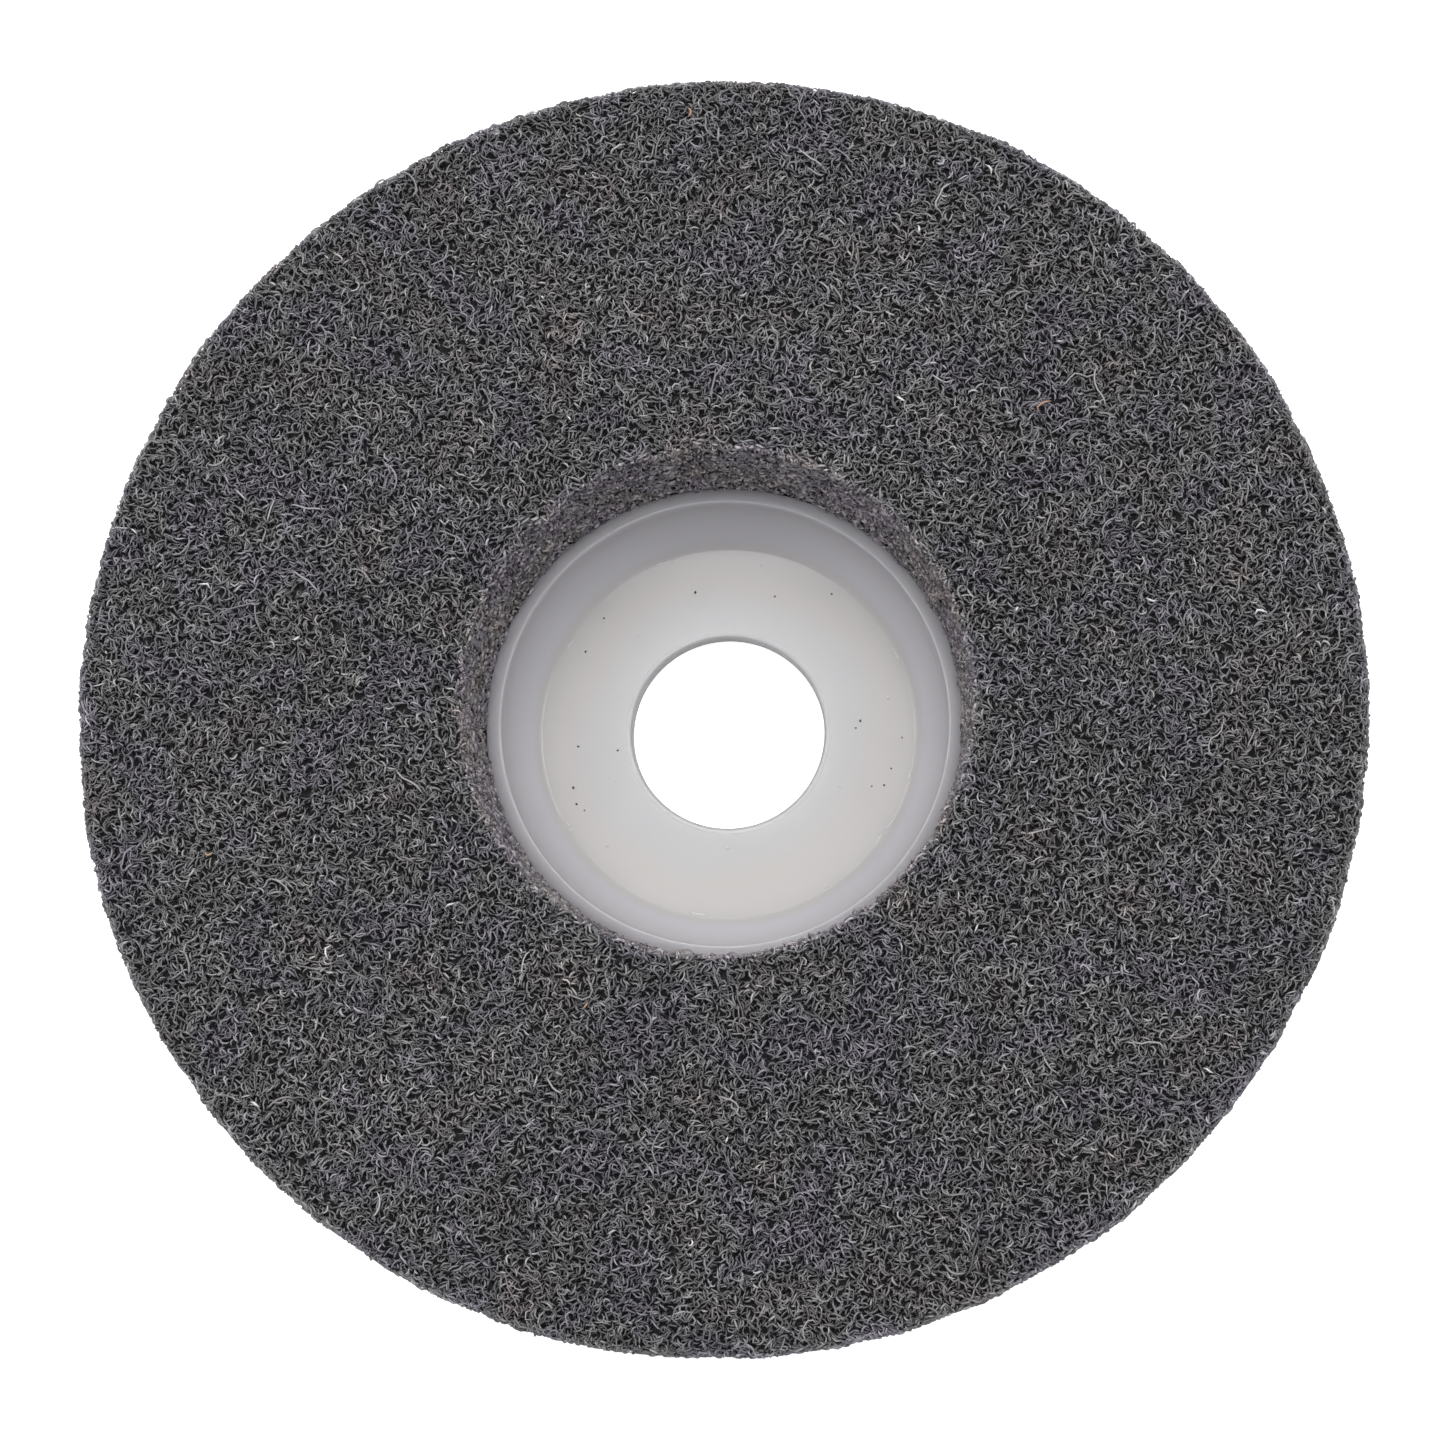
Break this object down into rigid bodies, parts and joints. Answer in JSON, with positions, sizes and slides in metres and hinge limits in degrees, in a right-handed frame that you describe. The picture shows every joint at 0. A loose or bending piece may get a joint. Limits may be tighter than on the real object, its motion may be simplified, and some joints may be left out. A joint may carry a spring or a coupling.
{
  "type": "non-woven nylon polishing wheel",
  "caption": "Round non-woven nylon fibre polishing wheel for an angle grinder, with a recessed plastic cup hub and a centre bore.",
  "frame": {"origin": "centre of the hub's rear face, where the spin axis meets the plane that the grinder's inner flange seats on; it is also the centre of the bottom of the bounding box", "axes": "+Z is the spin axis, out of the working face; X and Y lie in the plane of the wheel, which is round"},
  "size_m": [0.1, 0.1, 0.02],
  "materials": {
    "hub_nylon": "natural translucent off-white moulded nylon, satin",
    "bond_resin": "cured amber adhesive",
    "fibre_web": "resin-bonded curly nylon fibre with fine abrasive, open web"
  },
  "bodies": {
    "root": {"cup_hub": "hub_nylon", "bond_film": "bond_resin", "web_ply_1": "fibre_web", "web_ply_2": "fibre_web", "web_ply_3": "fibre_web", "web_ply_4": "fibre_web", "web_ply_5": "fibre_web", "web_ply_6": "fibre_web"}
  },
  "joints": []
}
